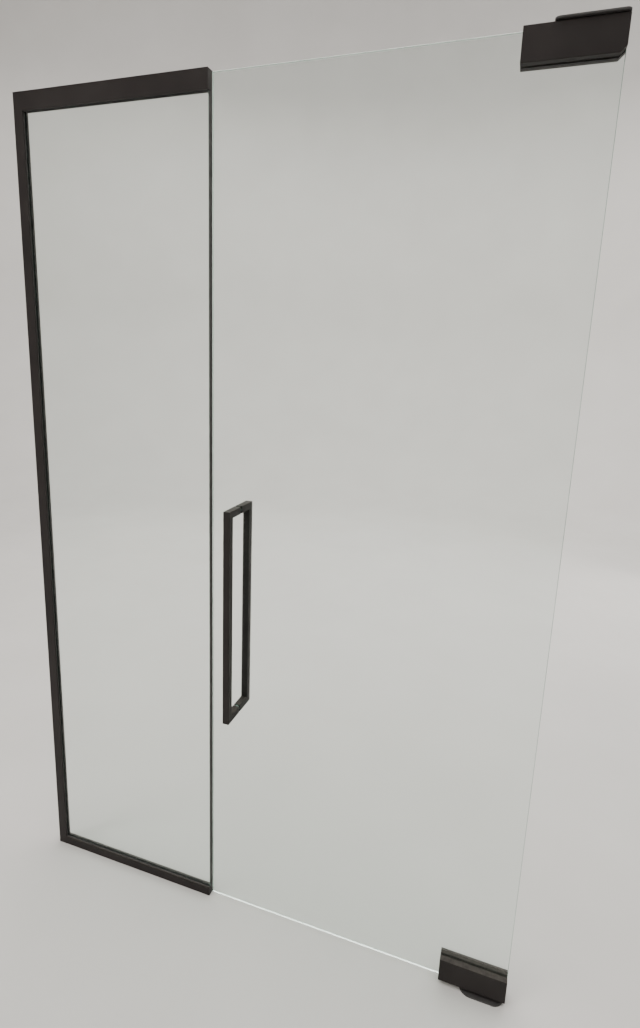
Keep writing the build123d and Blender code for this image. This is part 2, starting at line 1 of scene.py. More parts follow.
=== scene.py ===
# %% [markdown]
# # A glass entrance: fixed sidelight and pivoted leaf
#
# The shapes of this entrance come from a CAD model, so this lesson is about looks: finishes made
# of nodes, two kinds of repeated piece made with Geometry Nodes, soft light and a matched camera.
# Everything is in metres. The origin is on the floor, midway along the entrance, in the middle of
# the glass. X runs along the glass, Y goes into the room and Z is up.

# %% Load the frame
import json
import math

import bpy
from mathutils import Matrix, Vector

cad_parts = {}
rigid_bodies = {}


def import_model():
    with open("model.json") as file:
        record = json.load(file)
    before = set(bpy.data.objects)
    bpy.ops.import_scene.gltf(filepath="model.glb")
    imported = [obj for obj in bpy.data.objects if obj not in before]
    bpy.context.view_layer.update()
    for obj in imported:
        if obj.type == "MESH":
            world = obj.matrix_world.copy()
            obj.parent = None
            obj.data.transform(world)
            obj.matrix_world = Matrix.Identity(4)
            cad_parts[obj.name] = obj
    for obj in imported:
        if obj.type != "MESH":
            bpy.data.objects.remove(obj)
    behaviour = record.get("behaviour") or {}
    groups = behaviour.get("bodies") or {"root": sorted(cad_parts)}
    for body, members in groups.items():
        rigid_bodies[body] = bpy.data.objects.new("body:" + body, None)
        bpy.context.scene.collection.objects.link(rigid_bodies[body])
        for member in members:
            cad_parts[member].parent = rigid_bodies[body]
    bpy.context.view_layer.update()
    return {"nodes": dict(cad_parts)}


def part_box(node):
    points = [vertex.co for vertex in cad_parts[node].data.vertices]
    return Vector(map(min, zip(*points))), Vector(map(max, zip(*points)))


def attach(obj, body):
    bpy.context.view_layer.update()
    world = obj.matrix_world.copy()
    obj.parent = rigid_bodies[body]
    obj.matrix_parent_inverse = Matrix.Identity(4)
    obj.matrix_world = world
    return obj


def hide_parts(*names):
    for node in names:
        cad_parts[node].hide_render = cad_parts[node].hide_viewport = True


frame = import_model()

nodes_of = frame["nodes"]

# %% [markdown]
# ## Small tools for finishes
#
# A finish is a shader with patterns wired into it. Every finish here reads the piece's own
# coordinates in metres, so one number means the same size on a long channel and on a small screw.
# Helpers make a noise, move its range, and wire it to colour, gloss or relief. A value that is the
# same all over the surface is set straight on the shader, where other programs can read it too.

# %% A finish to start from
def new_finish(name, **constants):
    """A node material with one Principled shader, whose constant sockets are set by name."""
    material = bpy.data.materials.new(name)
    material.use_nodes = True
    tree = material.node_tree
    tree.nodes.clear()
    shader = tree.nodes.new("ShaderNodeBsdfPrincipled")
    output = tree.nodes.new("ShaderNodeOutputMaterial")
    tree.links.new(shader.outputs["BSDF"], output.inputs["Surface"])
    for socket, value in constants.items():
        shader.inputs[socket.replace("_", " ")].default_value = value
    return material, tree, shader


# %% A noise in the piece's own metres
def noise(tree, grain, detail, stretch=(1, 1, 1)):
    """A noise whose features are about grain metres across, longer along a stretched axis."""
    place = tree.nodes.new("ShaderNodeTexCoord")
    mapping = tree.nodes.new("ShaderNodeMapping")
    mapping.inputs["Scale"].default_value = [1 / s for s in stretch]
    texture = tree.nodes.new("ShaderNodeTexNoise")
    texture.inputs["Scale"].default_value = 1 / grain
    texture.inputs["Detail"].default_value = detail
    tree.links.new(place.outputs["Object"], mapping.inputs["Vector"])
    tree.links.new(mapping.outputs["Vector"], texture.inputs["Vector"])
    return texture.outputs["Fac"]


# %% Sums, ranges and blends of colour
def feed(tree, socket, value):
    """Wire an output into the socket, or set its value. A colour gets its alpha here."""
    if isinstance(value, bpy.types.NodeSocket):
        tree.links.new(value, socket)
    else:
        socket.default_value = (*value, 1) if socket.type == "RGBA" else value


def math_node(tree, operation, *values):
    """A maths node between sockets or numbers."""
    node = tree.nodes.new("ShaderNodeMath")
    node.operation = operation
    for socket, value in zip(node.inputs, values):
        feed(tree, socket, value)
    return node.outputs["Value"]


def spread(tree, factor, low, high, start=0.3, end=0.7):
    """The factor, moved from start...end to low...high."""
    span = tree.nodes.new("ShaderNodeMapRange")
    for socket, value in zip(("From Min", "From Max", "To Min", "To Max"), (start, end, low, high)):
        span.inputs[socket].default_value = value
    tree.links.new(factor, span.inputs["Value"])
    return span.outputs["Result"]


def blend_colours(tree, factor, first, second):
    """A colour between two others, each a colour or another blend."""
    mix = tree.nodes.new("ShaderNodeMix")
    mix.data_type = "RGBA"
    colours = [socket for socket in mix.inputs if socket.type == "RGBA"]
    for socket, colour in zip(colours, (first, second)):
        feed(tree, socket, colour)
    tree.links.new(factor, mix.inputs["Factor"])
    return next(socket for socket in mix.outputs if socket.type == "RGBA")


# %% Colour, gloss and relief from a pattern
def cloud(tree, size, detail):
    """Soft patches of about this size, from 0 to 1."""
    return spread(tree, noise(tree, size, detail), 0, 1)


def colour_by(tree, shader, pattern, first, second):
    """Colour that goes from the first to the second with the pattern."""
    tree.links.new(blend_colours(tree, pattern, first, second), shader.inputs["Base Color"])


def gloss_by(tree, shader, pattern, least, most, *ends):
    """Roughness that goes from the least to the most with the pattern."""
    tree.links.new(spread(tree, pattern, least, most, *ends), shader.inputs["Roughness"])


def relief(tree, shader, height, depth, strength):
    """A bump of the given depth in metres, added to any the shader already has."""
    bump = tree.nodes.new("ShaderNodeBump")
    bump.inputs["Strength"].default_value = strength
    bump.inputs["Distance"].default_value = depth
    tree.links.new(height, bump.inputs["Height"])
    if shader.inputs["Normal"].is_linked:
        tree.links.new(shader.inputs["Normal"].links[0].from_socket, bump.inputs["Normal"])
    tree.links.new(bump.outputs["Normal"], shader.inputs["Normal"])


# %% Which way a face looks
def looks_along(tree, axis):
    """How far a face looks along one of the piece's own axes, from -1 to 1."""
    place = tree.nodes.new("ShaderNodeTexCoord")
    parts = tree.nodes.new("ShaderNodeSeparateXYZ")
    tree.links.new(place.outputs["Normal"], parts.inputs["Vector"])
    return parts.outputs[axis]


def facing_up(tree):
    """1 on faces that look up and 0 on upright ones, where the coat gets dust and a painted top light.
    """
    return spread(tree, looks_along(tree, "Z"), 0, 1, 0.3, 0.9)


print("finish helpers ready")

# %% [markdown]
# ## Black aluminium
#
# The channels, covers and pull handles are extruded or milled aluminium with a black satin coat.
# The coat is a thin skin over the metal, so it is a plain dielectric shader: nearly black, a
# broad soft highlight, no metallic value. Three patterns keep it from looking like plastic: a
# slow cloud in colour and gloss, the faint lines that a drawn profile has along its length, and
# the coat's own fine grain. On ledges that look up the colour is lighter: partly a little dust,
# partly painted light, as the lamp above would leave on them. Colours here are in linear light,
# where a black that looks dark grey in a picture has a value of only 0.02.

# %% Satin black coat, one recipe for two directions of draw
COAT_DARK, COAT_LIGHT = (0.0190, 0.0164, 0.0160), (0.0272, 0.0239, 0.0231)
# The lighter colour for ledges that look up: partly dust, partly painted light from above.
DUST_AND_TOP_LIGHT, MOST_DUST_AND_TOP_LIGHT = (0.085, 0.074, 0.064), 0.50
DRAW_LINE, COAT_GRAIN = 0.0016, 0.0005
DRAW_STRETCH = 60


def black_coat(name, draw):
    """Black satin coat whose draw lines run along the stretched axis."""
    material, tree, shader = new_finish(name, IOR=1.5, Specular_IOR_Level=0.08)
    coat = blend_colours(tree, cloud(tree, 0.22, 3.0), COAT_DARK, COAT_LIGHT)
    # Upward faces are painted lighter: partly dust, partly painted light from the lamp above.
    dust_and_top_light = math_node(tree, "MULTIPLY", facing_up(tree), noise(tree, 0.012, 5.0))
    colour_by(tree, shader, spread(tree, dust_and_top_light, 0, MOST_DUST_AND_TOP_LIGHT, 0.25, 0.75), coat, DUST_AND_TOP_LIGHT)
    gloss_by(tree, shader, noise(tree, 0.035, 4.0, draw), 0.40, 0.54)
    relief(tree, shader, noise(tree, DRAW_LINE, 2.0, draw), depth=0.00002, strength=0.35)
    relief(tree, shader, noise(tree, COAT_GRAIN, 1.0), depth=0.000015, strength=0.35)
    return material


coat_along_x = black_coat("black_coat_along_x", (DRAW_STRETCH, 1, 1))
coat_along_z = black_coat("black_coat_along_z", (1, 1, DRAW_STRETCH))
print("coats:", coat_along_x.name, coat_along_z.name)

# %% [markdown]
# ## Black steel plates
#
# The floor and ceiling plates are cut from steel and powder coated. Powder melts into small soft
# hills, which metalworkers call orange peel, so this coat is rougher and more textured than the
# aluminium's.

# %% Powder coat
HILL = 0.0011
powder_coat, tree, shader = new_finish("black_powder_coat", IOR=1.5, Specular_IOR_Level=0.4)
colour_by(tree, shader, cloud(tree, 0.03, 3.0), (0.026, 0.0245, 0.024), (0.040, 0.038, 0.037))
gloss_by(tree, shader, noise(tree, 0.004, 3.0), 0.48, 0.62)
relief(tree, shader, noise(tree, HILL, 1.0), depth=0.00006, strength=0.6)
print("plates:", powder_coat.name)

# %% [markdown]
# ## Clear toughened glass
#
# Glass has three parts to its look. Its faces mirror a little and let the rest through. Its body
# takes out some red and blue, so a long way through it looks green: that is a volume shader, not
# a colour on the surface. Its ground edges scatter part of the light, so they shine a soft green
# where a clear edge would look black, and a diffuse shader is mixed in there. Toughened glass has
# also been carried on rollers while it was soft, which leaves a slow wave that bends reflections.
# Lamps would cast a solid shadow behind a sheet like this, because a renderer can't aim at a lamp
# through a refracting surface, so shadow rays are let straight through.

# %% Glass faces and edges
CLEAR, EDGE_TINT = (1.0, 1.0, 1.0), (0.90, 0.975, 0.935)
EDGE_ROUGHNESS = 0.10
ROLLER_WAVE = 0.30
clear_glass, tree, shader = new_finish("clear_toughened_glass", IOR=1.52, Transmission_Weight=1.0)
edge = spread(tree, math_node(tree, "ABSOLUTE", looks_along(tree, "Y")), 1, 0, 0.80, 0.98)
colour_by(tree, shader, edge, CLEAR, EDGE_TINT)
gloss_by(tree, shader, edge, 0.0, EDGE_ROUGHNESS, 0, 1)
relief(tree, shader, noise(tree, ROLLER_WAVE, 1.0, (2.5, 1, 1)), depth=0.0006, strength=0.25)
print("glass faces:", clear_glass.name)

# %% Glass body, scattering edges and clear shadows
BODY_GREEN, BODY_DENSITY = (0.46, 0.80, 0.64, 1), 10.0
GROUND_GREEN, GROUND_SHARE = (0.40, 0.60, 0.51, 1), 0.35
body = tree.nodes.new("ShaderNodeVolumeAbsorption")
body.inputs["Color"].default_value = BODY_GREEN
body.inputs["Density"].default_value = BODY_DENSITY
ground = tree.nodes.new("ShaderNodeBsdfDiffuse")
ground.inputs["Color"].default_value = GROUND_GREEN
clear = tree.nodes.new("ShaderNodeBsdfTransparent")
path = tree.nodes.new("ShaderNodeLightPath")
scattering = tree.nodes.new("ShaderNodeMixShader")
either = tree.nodes.new("ShaderNodeMixShader")
output = next(node for node in tree.nodes if node.type == "OUTPUT_MATERIAL")
for source, target in (
    (spread(tree, edge, 0, GROUND_SHARE, 0, 1), scattering.inputs["Fac"]),
    (shader.outputs["BSDF"], scattering.inputs[1]),
    (ground.outputs["BSDF"], scattering.inputs[2]),
    (path.outputs["Is Shadow Ray"], either.inputs["Fac"]),
    (scattering.outputs["Shader"], either.inputs[1]),
    (clear.outputs["BSDF"], either.inputs[2]),
    (either.outputs["Shader"], output.inputs["Surface"]),
    (body.outputs["Volume"], output.inputs["Volume"]),
):
    tree.links.new(source, target)
print("glass body:", body.name, "ground share", GROUND_SHARE)

# %% [markdown]
# ## Rubber, fibre and plastics
#
# Gaskets and seals are extruded rubber: black, matt, with a slight sheen and fine drag lines. The
# setting blocks are the same rubber, moulded. Clamp sheets are pressed fibre, the sleeves in the
# glass are milky nylon, and the washers under the handle are black plastic.

# %% Rubber
def rubber(name, dark, light, grain):
    """Matt rubber with a fine surface drag."""
    material, tree, shader = new_finish(name, IOR=1.5, Specular_IOR_Level=0.35, Sheen_Weight=0.08)
    colour_by(tree, shader, cloud(tree, 0.02, 4.0), dark, light)
    gloss_by(tree, shader, noise(tree, grain, 3.0), 0.55, 0.78)
    relief(tree, shader, noise(tree, grain, 2.0), depth=0.00003, strength=0.6)
    return material


strip_rubber = rubber("strip_rubber", (0.026, 0.025, 0.024), (0.044, 0.042, 0.041), 0.0012)
block_rubber = rubber("block_rubber", (0.014, 0.014, 0.015), (0.028, 0.027, 0.027), 0.003)
washer_plastic = rubber("washer_plastic", (0.012, 0.012, 0.012), (0.020, 0.020, 0.020), 0.0008)
print("rubber:", strip_rubber.name, block_rubber.name, washer_plastic.name)

# %% Clamp fibre and nylon
clamp_fibre, tree, shader = new_finish("clamp_fibre", IOR=1.45, Specular_IOR_Level=0.25)
fibres = noise(tree, 0.0009, 5.0, (6, 1, 1))
colour_by(tree, shader, spread(tree, fibres, 0, 1), (0.050, 0.046, 0.042), (0.120, 0.110, 0.098))
gloss_by(tree, shader, fibres, 0.72, 0.90)
relief(tree, shader, fibres, depth=0.00008, strength=0.6)

milky = {"Subsurface_Weight": 0.25, "Subsurface_Scale": 0.002}
sleeve_nylon, tree, shader = new_finish("sleeve_nylon", IOR=1.53, **milky)
colour_by(tree, shader, noise(tree, 0.006, 2.0), (0.62, 0.61, 0.57), (0.74, 0.73, 0.69))
gloss_by(tree, shader, noise(tree, 0.002, 2.0), 0.32, 0.46)
relief(tree, shader, noise(tree, 0.0008, 1.0), depth=0.00002, strength=0.4)
print("fibre and nylon:", clamp_fibre.name, sleeve_nylon.name)

# %% [markdown]
# ## Bare metals
#
# Steel, bronze, brass and cast alloy are metals, so their colour is in the reflection and the
# metallic value is 1. What tells them apart is how they were made: turned steel and bronze have
# fine rings or lines, cast alloy has a grainy skin with a broad, broken highlight.

# %% Machined and cast metal
TOOL_MARK, CAST_GRAIN = 0.0006, 0.0012


def bare_metal(name, dark, light, shine, grain=TOOL_MARK, stretch=(1, 1, 1), depth=0.00001):
    """Metal with a worked surface: shine is the least and most roughness."""
    material, tree, shader = new_finish(name, Metallic=1.0, Anisotropic=0.3)
    colour_by(tree, shader, cloud(tree, 0.008, 4.0), dark, light)
    gloss_by(tree, shader, noise(tree, grain, 3.0, stretch), *shine)
    relief(tree, shader, noise(tree, grain, 2.0, stretch), depth, strength=0.5)
    return material


bright_steel = bare_metal(
    "bright_steel", (0.47, 0.46, 0.45), (0.60, 0.59, 0.57), (0.18, 0.34), stretch=(1, 1, 8)
)
bearing_bronze = bare_metal(
    "bearing_bronze", (0.46, 0.29, 0.14), (0.62, 0.41, 0.21), (0.26, 0.42), stretch=(1, 1, 6)
)
valve_brass = bare_metal(
    "valve_brass", (0.62, 0.48, 0.22), (0.76, 0.61, 0.31), (0.20, 0.36), stretch=(6, 1, 1)
)
cast_alloy = bare_metal(
    "cast_alloy", (0.30, 0.30, 0.31), (0.44, 0.44, 0.44), (0.42, 0.62), CAST_GRAIN, depth=0.00006
)
print("metals:", bright_steel.name, bearing_bronze.name, valve_brass.name, cast_alloy.name)

# %% [markdown]
# ## Dress the CAD nodes
#
# Each node already has its final shape, so it only needs its finish. The list says which finish
# goes where, in the words a glazier would use. Two coats differ only in the direction of draw.

# %% Finish for every node
sides = ("front", "back")
finishes = {
    coat_along_x: ["header_channel", "sill_channel"]
    + [f"{place}_cover_{side}" for place in ("bottom", "top") for side in sides],
    coat_along_z: ["jamb_channel", "header_end_cap", "sill_end_cap"]
    + [f"handle_{side}" for side in sides],
    powder_coat: ["floor_plate", "ceiling_plate"],
    clear_glass: ["sidelight_glass", "door_glass"],
    strip_rubber: ["sidelight_edge_seal"]
    + [f"{run}_gasket_{side}" for run in ("header", "jamb", "sill") for side in sides],
    block_rubber: ["setting_blocks", "jamb_edge_blocks"],
    bright_steel: [
        "floor_spindle", "top_pivot_pin", "closer_end_plug", "bottom_patch_bolts",
        "top_patch_bolts", "handle_studs", "handle_set_screws",
    ],
    cast_alloy: ["closer_body", "top_patch_body"]
    + [f"{place}_cheek_{side}" for place in ("bottom", "top") for side in sides],
    bearing_bronze: ["spindle_bearing", "top_pivot_bush"],
    valve_brass: ["speed_valves"],
    clamp_fibre: [f"{place}_gasket_{side}" for place in ("bottom", "top") for side in sides],
    sleeve_nylon: ["handle_sleeves"],
    washer_plastic: ["handle_washers"],
}
for finish, names in finishes.items():
    for name in names:
        materials = nodes_of[name].data.materials
        materials.clear()
        materials.append(finish)
dressed = sum(len(names) for names in finishes.values())
print("dressed nodes:", dressed, "of", len(nodes_of))

# %% [markdown]
# ## Tools for Geometry Nodes pieces
#
# A geometry tree is a recipe with named inputs. It is built here in code, hung on a carrier
# object, and then turned into a plain mesh, because other programs read meshes and not recipes.

# %% Build and freeze a tree
def new_recipe(name, sizes):
    """A geometry tree with a geometry input, a number for each size, and a finish."""
    tree = bpy.data.node_groups.new(name, "GeometryNodeTree")
    face = tree.interface
    face.new_socket(name="Geometry", in_out="INPUT", socket_type="NodeSocketGeometry")
    for size, value in sizes.items():
        socket = face.new_socket(name=size, in_out="INPUT", socket_type="NodeSocketFloat")
        socket.default_value = value
    face.new_socket(name="Finish", in_out="INPUT", socket_type="NodeSocketMaterial")
    face.new_socket(name="Geometry", in_out="OUTPUT", socket_type="NodeSocketGeometry")
    return tree, tree.nodes.new("NodeGroupInput"), tree.nodes.new("NodeGroupOutput")


def freeze(carrier, tree, values):
    """Run the tree on the carrier with these input values, and keep only the mesh it makes."""
    modifier = carrier.modifiers.new(tree.name, "NODES")
    modifier.node_group = tree
    for item in tree.interface.items_tree:
        if item.in_out == "INPUT" and item.name in values:
            modifier[item.identifier] = values[item.name]
    evaluated = carrier.evaluated_get(bpy.context.evaluated_depsgraph_get())
    made = bpy.data.meshes.new_from_object(evaluated)
    carrier.modifiers.clear()
    carrier.data = made
    return carrier


def add_object(name, data):
    """A new object at the origin, linked to the scene."""
    thing = bpy.data.objects.new(name, data)
    bpy.context.scene.collection.objects.link(thing)
    return thing


print("geometry helpers ready")

# %% [markdown]
# ## Glazing strips
#
# Between each leg of a channel and the glass sits a rubber strip, pressed in after the pane. Only
# its crowned head shows, as a dark line beside the glass. It is one profile pushed along a line,
# which is exactly what a sweep does: six straight runs, cut to length and butted at the corners,
# as a glazier cuts them. The head has three fine grooves, left by the die. Each run carries the
# direction its channel opens to, so that the sweep knows which way the head faces.

# %% Where the strips run
STRIP_CROWN = 0.0014
STRIP_WIDTH = 0.0036
STRIP_DEPTH = 0.0055
openings = {"header": Vector((0, 0, -1)), "sill": Vector((0, 0, 1)), "jamb": Vector((1, 0, 0))}


def head_line(node, opening, side):
    """The two ends of a strip's head, in the plane of its channel's mouth."""
    low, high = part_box(node)
    along = 0 if abs(opening.z) else 2
    out = 2 - along
    first, last = low.copy(), high.copy()
    level = (high if opening[out] > 0 else low)[out] - opening[out] * STRIP_CROWN
    beside = low.y + STRIP_WIDTH / 2 if side == "back" else high.y - STRIP_WIDTH / 2
    for end in (first, last):
        end[out], end.y = level, beside
    return first, last


strip_nodes, strip_points, strip_openings = [], [], []
for run, opening in openings.items():
    for side in sides:
        strip_nodes.append(f"{run}_gasket_{side}")
        strip_points += head_line(strip_nodes[-1], opening, side)
        strip_openings += [opening, opening]
strip_edges = [(i, i + 1) for i in range(0, len(strip_points), 2)]
strip_lines = bpy.data.meshes.new("strip_lines")
strip_lines.from_pydata(strip_points, strip_edges, [])
opens_to = strip_lines.attributes.new("opening", "FLOAT_VECTOR", "POINT")
opens_to.data.foreach_set("vector", [value for opening in strip_openings for value in opening])
print("strip runs:", len(strip_edges), "first from", [round(v, 4) for v in strip_points[0]])

# %% The strip's profile: a flat grid whose upper edge is crowned and grooved
STRIP_GROOVE = 0.00022
RIPPLES = 4
PROFILE_POINTS = 25
strip_sizes = {
    "Width": STRIP_WIDTH, "Depth": STRIP_DEPTH, "Crown": STRIP_CROWN, "Groove": STRIP_GROOVE,
}
strip_recipe, given, result = new_recipe("glazing_strip", strip_sizes)
width, depth, crown, groove = [given.outputs[size] for size in strip_sizes]


def work(operation, *values):
    """A maths node in the strip's tree."""
    return math_node(strip_recipe, operation, *values)


grid = strip_recipe.nodes.new("GeometryNodeMeshGrid")
grid_inputs = {"Size X": depth, "Size Y": width, "Vertices X": 2, "Vertices Y": PROFILE_POINTS}
for socket, value in grid_inputs.items():
    feed(strip_recipe, grid.inputs[socket], value)
at = strip_recipe.nodes.new("GeometryNodeInputPosition")
axes = strip_recipe.nodes.new("ShaderNodeSeparateXYZ")
strip_recipe.links.new(at.outputs["Position"], axes.inputs["Vector"])
share = work("DIVIDE", axes.outputs["Y"], width)
arch = work("SUBTRACT", 1.0, work("POWER", work("MULTIPLY", share, 2.0), 2.0))
ripple = work("COSINE", work("MULTIPLY", share, RIPPLES * math.tau))
dip = work("ADD", work("MULTIPLY", work("MULTIPLY", ripple, arch), groove), groove)
head_rise = work("MAXIMUM", work("SUBTRACT", work("MULTIPLY", arch, crown), dip), 0.0)
upper = work("GREATER_THAN", axes.outputs["X"], 0.0)
lift = work("SUBTRACT", work("MULTIPLY", upper, head_rise), work("MULTIPLY", depth, 0.5))
offset = strip_recipe.nodes.new("ShaderNodeCombineXYZ")
strip_recipe.links.new(lift, offset.inputs["X"])
move = strip_recipe.nodes.new("GeometryNodeSetPosition")
strip_recipe.links.new(grid.outputs["Mesh"], move.inputs["Geometry"])
strip_recipe.links.new(offset.outputs["Vector"], move.inputs["Offset"])
print("profile nodes:", len(strip_recipe.nodes))

# %% The sweep: the grid's border becomes a curve and follows every run
borders = strip_recipe.nodes.new("GeometryNodeInputMeshEdgeNeighbors")
alone = strip_recipe.nodes.new("FunctionNodeCompare")
alone.data_type = "INT"
alone.operation = "EQUAL"
count, one = [socket for socket in alone.inputs if socket.type == "INT"]
one.default_value = 1
profile = strip_recipe.nodes.new("GeometryNodeMeshToCurve")
rails = strip_recipe.nodes.new("GeometryNodeMeshToCurve")
facing = strip_recipe.nodes.new("GeometryNodeSetCurveNormal")
facing.mode = "FREE"
named = strip_recipe.nodes.new("GeometryNodeInputNamedAttribute")
named.data_type = "FLOAT_VECTOR"
named.inputs["Name"].default_value = "opening"
sweep = strip_recipe.nodes.new("GeometryNodeCurveToMesh")
sweep.inputs["Fill Caps"].default_value = True
turn = strip_recipe.nodes.new("GeometryNodeFlipFaces")
real = strip_recipe.nodes.new("GeometryNodeRealizeInstances")
paint = strip_recipe.nodes.new("GeometryNodeSetMaterial")
for source, target in (
    (borders.outputs["Face Count"], count),
    (alone.outputs["Result"], profile.inputs["Selection"]),
    (move.outputs["Geometry"], profile.inputs["Mesh"]),
    (given.outputs["Geometry"], rails.inputs["Mesh"]),
    (rails.outputs["Curve"], facing.inputs["Curve"]),
    (named.outputs["Attribute"], facing.inputs["Normal"]),
    (facing.outputs["Curve"], sweep.inputs["Curve"]),
    (profile.outputs["Curve"], sweep.inputs["Profile Curve"]),
    (sweep.outputs["Mesh"], turn.inputs["Mesh"]),
    (turn.outputs["Mesh"], real.inputs["Geometry"]),
    (real.outputs["Geometry"], paint.inputs["Geometry"]),
    (given.outputs["Finish"], paint.inputs["Material"]),
    (paint.outputs["Geometry"], result.inputs["Geometry"]),
):
    strip_recipe.links.new(source, target)
glazing_strips = add_object("glazing_strips", strip_lines)
freeze(glazing_strips, strip_recipe, {**strip_sizes, "Finish": strip_rubber})
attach(glazing_strips, "fixed_side")
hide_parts(*strip_nodes)
print("glazing strips:", len(glazing_strips.data.polygons), "faces")

# %% [markdown]
# ## Fixing screws
#
# Countersunk screws hold the plates and the channels to the building. A screw is the same turned
# shape wherever it stands, so one screw is modelled inside the tree and placed at every hole,
# turned to face out of its plate. The sizes are inputs: plate screws are larger than channel
# screws. The recess for the driver is cut by a six-sided bar. The shank starts inside the head, at
# three quarters of its height, so the two closed shapes meet without a gap. Plate screws are
# black like the plates, and channel screws are plain steel.

# %% One screw, head up at the origin
HEAD_SIDES, SHANK_SIDES, KEY_SIDES = 32, 24, 6
NECK = 0.75
plate_screw = {
    "Head radius": 0.0047, "Shank radius": 0.0025, "Head height": 0.0024,
    "Length": 0.0038, "Recess": 0.0021,
}
channel_screw = {
    "Head radius": 0.0041, "Shank radius": 0.0023, "Head height": 0.0019,
    "Length": 0.0026, "Recess": 0.0018,
}
screw_recipe, given, result = new_recipe("fixing_screw", plate_screw)
head_radius, shank_radius, head_height, length, recess = [given.outputs[size] for size in plate_screw]


def turned_part(kind, depth, lift=None, **sizes):
    """A cone or cylinder of this depth, moved along Z by the lift if there is one."""
    part = screw_recipe.nodes.new(kind)
    for size, value in {"Depth": depth, **sizes}.items():
        feed(screw_recipe, part.inputs[size.replace("_", " ")], value)
    if lift is None:
        return part.outputs["Mesh"]
    place = screw_recipe.nodes.new("ShaderNodeCombineXYZ")
    shift = screw_recipe.nodes.new("GeometryNodeTransform")
    screw_recipe.links.new(lift, place.inputs["Z"])
    screw_recipe.links.new(part.outputs["Mesh"], shift.inputs["Geometry"])
    screw_recipe.links.new(place.outputs["Vector"], shift.inputs["Translation"])
    return shift.outputs["Geometry"]


head = turned_part(
    "GeometryNodeMeshCone", head_height, math_node(screw_recipe, "MULTIPLY", head_height, -1.0),
    Vertices=HEAD_SIDES, Radius_Top=head_radius, Radius_Bottom=shank_radius,
)
neck = math_node(screw_recipe, "MULTIPLY", head_height, NECK)
shank_ends = math_node(screw_recipe, "ADD", length, neck)
shank = turned_part(
    "GeometryNodeMeshCylinder", math_node(screw_recipe, "SUBTRACT", length, neck),
    math_node(screw_recipe, "MULTIPLY", shank_ends, -0.5),
    Vertices=SHANK_SIDES, Radius=shank_radius,
)
key = turned_part("GeometryNodeMeshCylinder", head_height, Vertices=KEY_SIDES, Radius=recess)
cut = screw_recipe.nodes.new("GeometryNodeMeshBoolean")
cut.operation = "DIFFERENCE"
screw_recipe.links.new(head, cut.inputs["Mesh 1"])
screw_recipe.links.new(key, cut.inputs["Mesh 2"])
whole = screw_recipe.nodes.new("GeometryNodeJoinGeometry")
for part in (shank, cut.outputs["Mesh"]):
    screw_recipe.links.new(part, whole.inputs["Geometry"])
print("screw nodes:", len(screw_recipe.nodes))

# %% Turn each screw out of its plate, then make them real
outward = screw_recipe.nodes.new("GeometryNodeInputNamedAttribute")
outward.data_type = "FLOAT_VECTOR"
outward.inputs["Name"].default_value = "opening"
aim = screw_recipe.nodes.new("FunctionNodeAlignRotationToVector")
stand = screw_recipe.nodes.new("GeometryNodeInstanceOnPoints")
real = screw_recipe.nodes.new("GeometryNodeRealizeInstances")
paint = screw_recipe.nodes.new("GeometryNodeSetMaterial")
for source, target in (
    (outward.outputs["Attribute"], aim.inputs["Vector"]),
    (given.outputs["Geometry"], stand.inputs["Points"]),
    (whole.outputs["Geometry"], stand.inputs["Instance"]),
    (aim.outputs["Rotation"], stand.inputs["Rotation"]),
    (stand.outputs["Instances"], real.inputs["Geometry"]),
    (real.outputs["Geometry"], paint.inputs["Geometry"]),
    (given.outputs["Finish"], paint.inputs["Material"]),
    (paint.outputs["Geometry"], result.inputs["Geometry"]),
):
    screw_recipe.links.new(source, target)


def set_screws(name, places, sizes, finish):
    """Screws at (point, direction) places, frozen to one mesh on the fixed side."""
    marks = bpy.data.meshes.new(name)
    marks.from_pydata([point for point, _ in places], [], [])
    opens_to = marks.attributes.new("opening", "FLOAT_VECTOR", "POINT")
    opens_to.data.foreach_set("vector", [value for _, direction in places for value in direction])
    screws = freeze(add_object(name, marks), screw_recipe, {**sizes, "Finish": finish})
    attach(screws, "fixed_side")
    print(name, len(places), "screws,", len(screws.data.polygons), "faces")


# %% Screws in the plates
UP, DOWN, INWARD = (0, 0, 1), (0, 0, -1), (1, 0, 0)
SCREW_SINK = 0.0002
FLOOR_SCREW_X, CEILING_SCREW_X, PLATE_SCREW_Y = 0.045, 0.056, 0.017


def corner_places(plate, level, out, direction):
    """Four screw places at a level, this far out on both sides of a plate's middle."""
    low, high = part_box(plate)
    middle = (low.x + high.x) / 2
    corners = [(x, y) for x in (-out, out) for y in (-PLATE_SCREW_Y, PLATE_SCREW_Y)]
    return [((middle + x, y, level), direction) for x, y in corners]


floor_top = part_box("floor_plate")[1].z - SCREW_SINK
ceiling_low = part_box("ceiling_plate")[0].z + SCREW_SINK
plate_places = corner_places("floor_plate", floor_top, FLOOR_SCREW_X, UP)
plate_places += corner_places("ceiling_plate", ceiling_low, CEILING_SCREW_X, DOWN)
set_screws("plate_screws", plate_places, plate_screw, powder_coat)

# %% Screws in the channels, four in each, evenly spaced about its middle
CHANNEL_WALL = 0.003
RAIL_PITCH, JAMB_PITCH = 0.160, 0.700
steps = (-1.5, -0.5, 0.5, 1.5)
rail_low, rail_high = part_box("header_channel")
jamb_low, jamb_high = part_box("jamb_channel")
rail_middle = (rail_low.x + rail_high.x) / 2
web = CHANNEL_WALL - SCREW_SINK
channel_places = [((rail_middle + step * RAIL_PITCH, 0, rail_high.z - web), DOWN) for step in steps]
channel_places += [((rail_middle + step * RAIL_PITCH, 0, web), UP) for step in steps]
channel_places += [
    ((jamb_low.x + web, 0, jamb_high.z / 2 + step * JAMB_PITCH), INWARD) for step in steps
]
set_screws("channel_screws", channel_places, channel_screw, bright_steel)

# %% [markdown]
# ## Floor and backdrop
#
# A plain pale floor that curves up all round into a tall wall gives the clear panes something even
# to stand against from every side, with no corner or horizon to show through them. It is a profile
# turned about the upright axis, like a bowl on a potter's wheel.

